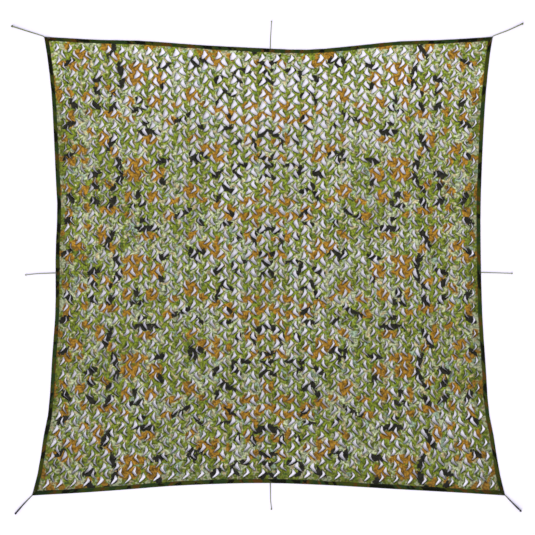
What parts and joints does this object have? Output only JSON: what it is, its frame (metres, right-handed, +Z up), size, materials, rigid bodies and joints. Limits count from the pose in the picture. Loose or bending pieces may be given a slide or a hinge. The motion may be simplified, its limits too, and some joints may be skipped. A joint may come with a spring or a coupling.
{
  "type": "camouflage net",
  "caption": "Leaf-cut camouflage net laid out flat, with bound edges that bow inwards and a short knotted tie cord at each corner and mid-edge.",
  "frame": {"origin": "on the surface that the net lies on, under the middle of the net's box without its tie cords", "axes": "+Z up from the surface, square to the cloth; +Y towards the net's top edge; +X towards its right edge"},
  "size_m": [3.4315, 3.2274, 0.0248],
  "materials": {
    "net_cloth": "printed woven polyester, woodland print, matt",
    "binding_cloth": "dark printed binding tape, folded and stitched",
    "tie_cord": "braided dark olive cord"
  },
  "bodies": {
    "root": {"net_panel": "net_cloth", "binding_bottom": "binding_cloth", "binding_right": "binding_cloth", "binding_top": "binding_cloth", "binding_left": "binding_cloth", "tie_bottom": "tie_cord", "tie_bottom_right": "tie_cord", "tie_right": "tie_cord", "tie_top_right": "tie_cord", "tie_top": "tie_cord", "tie_top_left": "tie_cord", "tie_left": "tie_cord", "tie_bottom_left": "tie_cord", "knot_bottom": "tie_cord", "knot_bottom_right": "tie_cord", "knot_right": "tie_cord", "knot_top_right": "tie_cord", "knot_top": "tie_cord", "knot_top_left": "tie_cord", "knot_left": "tie_cord", "knot_bottom_left": "tie_cord"}
  },
  "joints": []
}
